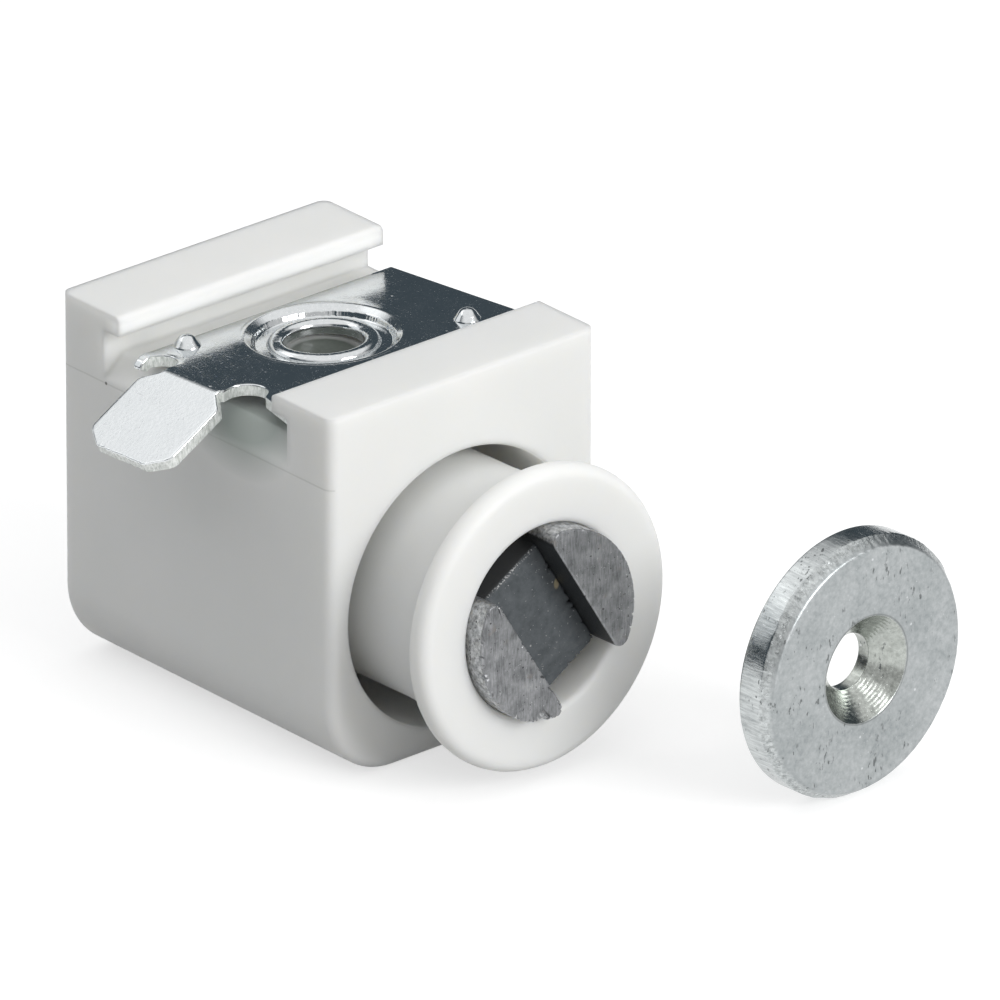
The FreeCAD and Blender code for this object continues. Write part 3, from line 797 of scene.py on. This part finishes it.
def plate_zinc():
    """Bright plating: fine dark mottle, rough light specks and faint rubbed lines; sheared edges are pale and matt."""
    m, t, s = new_material("plate_zinc")
    p = coords(t)
    mottle = noise(t, p, 3600.0, 4.0, 0.62)
    broad = noise(t, p, 420.0, 3.0, 0.6)
    speck = spread(t, noise(t, mapped(t, p, move=(0.3, 0.1, 0.7)), 5200.0, 2.0, 0.6), 0.62, 0.72)
    rare = spread(t, cells(t, p, 420.0), 0.035, 0.055, 1.0, 0.0)
    marks = larger(t, times(t, speck, 0.45), rare)
    rub = scratches(t, p, (0, 0, 24), (0.2, 0.1, 0), 5200.0, 16.0, 0.70)
    marks = larger(t, marks, times(t, rub, 0.5))
    base = mixed(t, spread(t, mottle, 0.3, 0.7), ZINC_SHADE, ZINC_LIGHT)
    base = mixed(t, marks, base, ZINC_MARK)
    cut = t.nodes.new("ShaderNodeAttribute")
    cut.attribute_name = "cut_edge"
    cut = spread(t, cut.outputs["Fac"], 0.5, 0.95)
    shear = noise(t, mapped(t, p, (5200.0, 5200.0, 1900.0)), 1.0, 4.0, 0.7)
    sheared = mixed(t, spread(t, shear, 0.36, 0.62), SHEAR_SHADE, SHEAR_LIGHT)
    t.links.new(mixed(t, cut, base, sheared), s.inputs["Base Color"])
    even = spread(t, plus(t, mottle, broad), 0.7, 1.3, 0.06, 0.19)
    rough = plus(t, even, times(t, marks, 0.4))
    t.links.new(larger(t, rough, times(t, cut, 0.42)), s.inputs["Roughness"])
    t.links.new(spread(t, cut, 0.0, 1.0, 1.0, 0.35), s.inputs["Metallic"])
    bump(t, s, plus(t, mottle, times(t, marks, 0.6)), 0.000012, 0.5)
    return m


def strike_zinc():
    """Dull plating: fine mottle, light and dark scratches and specks on the face.

    Depth behind the face and distance from the disc's axis tell the face, the smoother rim with its streaks along the
    axis, the rougher bevel and the countersink with its fine turning rings apart.
    """
    m, t, s = new_material("strike_zinc")
    p = coords(t)
    own = mapped(t, mapped(t, p, move=tuple(-c for c in STRIKE_CENTRE)), turn=(0.0, 0.0, -STRIKE_TURN))
    from_axis = distance_to(t, own, AXIS, (1.0, 0.0, 1.0))
    _, depth, _ = apart(t, own)
    mottle = noise(t, p, 2600.0, 4.0, 0.65)
    broad = noise(t, p, 260.0, 4.0, 0.6)
    one_way = scratches(t, p, (0, 35, 0), (0.1, 0, 0), 5200.0, 14.0, 0.72)
    other_way = scratches(t, p, (60, 0, 20), (0, 0.2, 0), 5200.0, 18.0, 0.73)
    light = larger(t, one_way, other_way)
    light = larger(t, light, spread(t, cells(t, p, 520.0), 0.04, 0.065, 1.0, 0.0))
    patches = spread(t, noise(t, mapped(t, p, move=(0.5, 0.0, 0.3)), 520.0, 3.0, 0.6), 0.5, 0.6)
    pits = spread(t, noise(t, mapped(t, p, (3600.0, 3600.0, 1400.0)), 1.0, 2.0, 0.6), 0.60, 0.66)
    dark_marks = times(t, patches, pits)
    on_side = spread(t, from_axis, 0.0094, 0.0096)
    on_bevel = times(t, on_side, spread(t, depth, 0.0008, 0.00095, 1.0, 0.0))
    streak = spread(t, noise(t, mapped(t, p, (5200.0, 420.0, 5200.0)), 1.0, 3.0, 0.65), 0.34, 0.66)
    rough_streak = spread(t, noise(t, mapped(t, p, (3600.0, 1500.0, 3600.0)), 1.0, 4.0, 0.7), 0.36, 0.64)
    ring_pitch = 0.00021
    rings = math_node(t, "SINE", times(t, from_axis, 2.0 * math.pi / ring_pitch))
    sunk = spread(t, from_axis, 0.00405, 0.0041, 1.0, 0.0)
    lip = spread(t, magnitude(t, plus(t, from_axis, -0.00416)), 0.00003, 0.00009, 1.0, 0.0)
    dark = spread(t, plus(t, mottle, times(t, broad, 0.8)), 0.65, 1.15)
    base = mixed(t, dark, FACE_SHADE, FACE_LIGHT)
    base = mixed(t, times(t, on_side, streak), base, RIM_STREAK)
    base = mixed(t, times(t, on_bevel, spread(t, rough_streak, 0.0, 0.6, 0.6, 0.0)), base, BEVEL_SHADE)
    base = mixed(t, sunk, base, mixed(t, spread(t, mottle, 0.35, 0.65), SINK_SHADE, SINK_LIGHT))
    base = mixed(t, times(t, dark_marks, 0.85), base, FACE_PIT)
    base = mixed(t, times(t, lip, 0.45), base, LIP_DARK)
    t.links.new(mixed(t, times(t, light, 0.6), base, FACE_MARK), s.inputs["Base Color"])
    dull = spread(t, mottle, 0.3, 0.7, 0.34, 0.48)
    shiny = larger(t, sunk, minus(t, on_side, times(t, on_bevel, 0.4)))
    t.links.new(minus(t, dull, times(t, shiny, 0.2)), s.inputs["Roughness"])
    s.inputs["Metallic"].default_value = 1.0
    turning = times(t, times(t, rings, sunk), times(t, mottle, 0.5))
    relief = plus(t, times(t, mottle, 0.4), turning)
    relief = plus(t, relief, times(t, times(t, on_side, streak), 0.5))
    relief = plus(t, relief, times(t, times(t, on_bevel, rough_streak), 1.5))
    relief = minus(t, relief, larger(t, light, dark_marks))
    bump(t, s, relief, 0.000014, 0.6)
    return m


def pole_steel():
    """Ground soft steel: fine grind lines, crossing scratches and dark pits on the end face.

    Behind the face the round side is painted light with flecks, and the flat towards the magnet is painted shade. How
    far a place lies behind the face is told along the plunger's own lean.
    """
    m, t, s = new_material("pole_steel")
    p = coords(t)
    grind = noise(t, mapped(t, p, (7200.0, 7200.0, 900.0), (0, 24, 0)), 1.0, 4.0, 0.75)
    cloud = noise(t, p, 900.0, 4.0, 0.6)
    one_way = scratches(t, p, (0, -38, 0), (0.4, 0, 0), 5600.0, 10.0, 0.7)
    other_way = scratches(t, p, (0, 70, 0), (0, 0.6, 0), 5600.0, 12.0, 0.71)
    lines = larger(t, one_way, other_way)
    pits = spread(t, noise(t, p, 3300.0, 2.0, 0.5), 0.28, 0.34, 1.0, 0.0)
    base = mixed(t, spread(t, plus(t, grind, cloud), 0.7, 1.3), GROUND_SHADE, GROUND_LIGHT)
    base = mixed(t, times(t, lines, 0.7), base, GROUND_MARK)
    _, y, z = apart(t, p)
    behind = minus(t, y, times(t, z, math.tan(math.radians(HOLDER_LEAN))))
    face = PACK_CENTRE[1] - PACK_CENTRE[2] * math.tan(math.radians(HOLDER_LEAN))
    side = spread(t, behind, face + 0.00008, face + 0.0002)
    # painted light: the round side behind the face, shaded by the bore's wall, is made much lighter than the end face
    flecks = spread(t, noise(t, p, 2400.0, 4.0, 0.7), 0.36, 0.62)
    side_painted_light_and_shade = mixed(t, flecks, PAINTED_LIGHT_SIDE_DIM, PAINTED_LIGHT_SIDE_BRIGHT)
    upright = mapped(t, mapped(t, p, move=tuple(-c for c in PACK_CENTRE)), turn=(0.0, PACK_TURN, 0.0))
    out, _, _ = apart(t, upright)
    # painted shade on the flat towards the magnet, where pole and magnet meet
    inward_painted_shade = spread(t, magnitude(t, out), 0.00303, 0.00312, 1.0, 0.0)
    side_painted_light_and_shade = mixed(t, inward_painted_shade, side_painted_light_and_shade, INWARD_PAINTED_SHADE)
    base = mixed(t, side, base, side_painted_light_and_shade)
    tarnish = spread(t, noise(t, mapped(t, p, move=(0.2, 0.0, 0.5)), 620.0, 3.0, 0.6), 0.62, 0.74, 0.0, 0.5)
    base = mixed(t, tarnish, base, TARNISH)
    t.links.new(mixed(t, pits, base, POLE_PIT), s.inputs["Base Color"])
    t.links.new(spread(t, grind, 0.3, 0.7, 0.52, 0.38), s.inputs["Roughness"])
    s.inputs["Metallic"].default_value = 0.85
    bump(t, s, minus(t, plus(t, grind, lines), pits), 0.00002, 0.5)
    return m


def ferrite():
    """Dull sintered ceramic: dark clouds, light specks and one tan spot; black painted shade past the break, with a
    pale edge.
    """
    m, t, s = new_material("ferrite")
    p = coords(t)
    cloud = noise(t, p, 1100.0, 5.0, 0.7)
    speck = spread(t, noise(t, p, 4800.0, 2.0, 0.6), 0.68, 0.73)
    rare = spread(t, cells(t, p, 700.0), 0.04, 0.07, 1.0, 0.0)
    base = mixed(t, spread(t, cloud, 0.3, 0.7), FERRITE_SHADE, FERRITE_LIGHT)
    base = mixed(t, times(t, larger(t, speck, rare), 0.8), base, FERRITE_SPECK)
    upright = mapped(t, mapped(t, p, move=tuple(-c for c in PACK_CENTRE)), turn=(0.0, PACK_TURN, 0.0))
    _, _, along = apart(t, upright)
    break_at = BREAK_LINE * MM
    # painted shade: past the break line the steep slope is black
    past = spread(t, along, break_at, break_at + 0.00012)
    edge = spread(t, magnitude(t, plus(t, along, -break_at)), 0.00002, 0.00009, 1.0, 0.0)
    edge = times(t, edge, spread(t, noise(t, mapped(t, p, move=(0.7, 0.0, 0.1)), 6000.0, 2.0, 0.6), 0.53, 0.6))
    base = mixed(t, past, base, BREAK_PAINTED_SHADE)
    base = mixed(t, edge, base, BREAK_PALE)
    spot = spread(t, distance_to(t, p, TAN_SPOT, (1.0, 0.3, 0.6)), 0.00018, 0.0003, 1.0, 0.0)
    t.links.new(mixed(t, spot, base, TAN), s.inputs["Base Color"])
    s.inputs["Roughness"].default_value = 0.58
    s.inputs["Specular IOR Level"].default_value = 0.35
    bump(t, s, plus(t, cloud, speck), 0.00003, 0.6)
    return m


def wire_steel():
    """Drawn wire: dull, with fine streaks."""
    m, t, s = new_material("wire_steel")
    p = coords(t)
    streak = noise(t, mapped(t, p, (1800.0, 6000.0, 1800.0)), 1.0, 3.0, 0.6)
    t.links.new(mixed(t, spread(t, streak, 0.3, 0.7), WIRE_SHADE, WIRE_LIGHT), s.inputs["Base Color"])
    t.links.new(spread(t, streak, 0.3, 0.7, 0.24, 0.36), s.inputs["Roughness"])
    s.inputs["Metallic"].default_value = 1.0
    bump(t, s, streak, 0.00001, 0.5)
    return m


# The pieces and their materials

HOUSING_WHITE = plastic("housing_white", True)
HOLDER_WHITE = plastic("holder_white")
ZINC = plate_zinc()
WIRE = wire_steel()
for node, material in (("housing", HOUSING_WHITE), ("retaining_wire", WIRE)):
    NODES[node].data.materials.clear()
    NODES[node].data.materials.append(material)
mounting_plate(ZINC)
return_spring(WIRE)
magnet_holder(HOLDER_WHITE)
poles(pole_steel())
magnet(ferrite())
strike_disc(strike_zinc())


# Stage, light and camera


def floor():
    """Wide pale plane under the object."""
    half = 4.0
    z = cad_low.z
    mesh = bpy.data.meshes.new("floor")
    mesh.from_pydata([(-half, -half, z), (half, -half, z), (half, half, z), (-half, half, z)], [], [(0, 1, 2, 3)])
    obj = bpy.data.objects.new("floor", mesh)
    bpy.context.scene.collection.objects.link(obj)
    m, t, s = new_material("floor")
    s.inputs["Base Color"].default_value = (0.5, 0.5, 0.5, 1.0)
    s.inputs["Roughness"].default_value = 0.9
    s.inputs["Specular IOR Level"].default_value = 0.0
    s.inputs["Emission Color"].default_value = (1.0, 1.0, 1.0, 1.0)
    ray = t.nodes.new("ShaderNodeLightPath")
    through = larger(t, ray.outputs["Is Glossy Ray"], ray.outputs["Is Transmission Ray"])
    seen = larger(t, ray.outputs["Is Camera Ray"], through)
    t.links.new(times(t, seen, 0.62), s.inputs["Emission Strength"])
    mesh.materials.append(m)


def area(name, place, target, size, power):
    """Round soft lamp at a place, facing a target."""
    light = bpy.data.lights.new(name, "AREA")
    light.shape = "DISK"
    light.size = size
    light.energy = power
    obj = bpy.data.objects.new(name, light)
    bpy.context.scene.collection.objects.link(obj)
    obj.location = place
    obj.rotation_mode = "QUATERNION"
    obj.rotation_quaternion = (Vector(target) - Vector(place)).to_track_quat("-Z", "Y")


def world():
    """Soft surround: light overhead, a little over half as light in front, dark low down at the sides and behind."""
    w = bpy.data.worlds.new("world")
    bpy.context.scene.world = w
    w.use_nodes = True
    t = w.node_tree
    t.nodes.clear()
    out = t.nodes.new("ShaderNodeOutputWorld")
    back = t.nodes.new("ShaderNodeBackground")
    t.links.new(back.outputs[0], out.inputs[0])
    _, y, z = apart(t, t.nodes.new("ShaderNodeTexCoord").outputs["Generated"])
    rise = spread(t, z, 0.53, 0.7)
    front = spread(t, y, -0.5, -0.3, 1.0, 0.0)
    sides = mixed(t, front, (0.058, 0.076, 0.09), (0.6, 0.6, 0.6))
    t.links.new(mixed(t, rise, sides, (1.0, 1.0, 1.0)), back.inputs["Color"])
    back.inputs["Strength"].default_value = 1.0


def camera():
    """Long lens at the photograph's viewing angle."""
    azimuth, elevation = math.radians(-40.7617), math.radians(24.7354)
    level = math.cos(elevation)
    back = Vector((math.sin(azimuth) * level, -math.cos(azimuth) * level, math.sin(elevation)))
    right = Vector((math.cos(azimuth), math.sin(azimuth), 0.0))
    up = back.cross(right)
    data = bpy.data.cameras.new("camera")
    data.sensor_width = 36.0
    data.lens = 894.626
    data.clip_start = 0.1
    data.clip_end = 20.0
    obj = bpy.data.objects.new("camera", data)
    bpy.context.scene.collection.objects.link(obj)
    place = (Vector(BASE) + right * 12.4 + up * 12.6147 + back * 1800.0) * MM
    obj.matrix_world = Matrix((
        (right.x, up.x, back.x, place.x),
        (right.y, up.y, back.y, place.y),
        (right.z, up.z, back.z, place.z),
        (0.0, 0.0, 0.0, 1.0),
    ))
    bpy.context.scene.camera = obj


floor()
world()
area("key", (0.18, -0.93, 0.45), (0.0, 0.0, -0.015), 0.55, 6.1)
area("back_panel", (-0.52, 0.69, 0.48), (0.0, 0.0, 0.0), 0.7, 1.1)
area("high_panel", (-0.1, 0.7, 0.7), (0.0, 0.0, 0.0), 0.5, 0.22)
camera()
bpy.context.scene.view_settings.view_transform = "Standard"
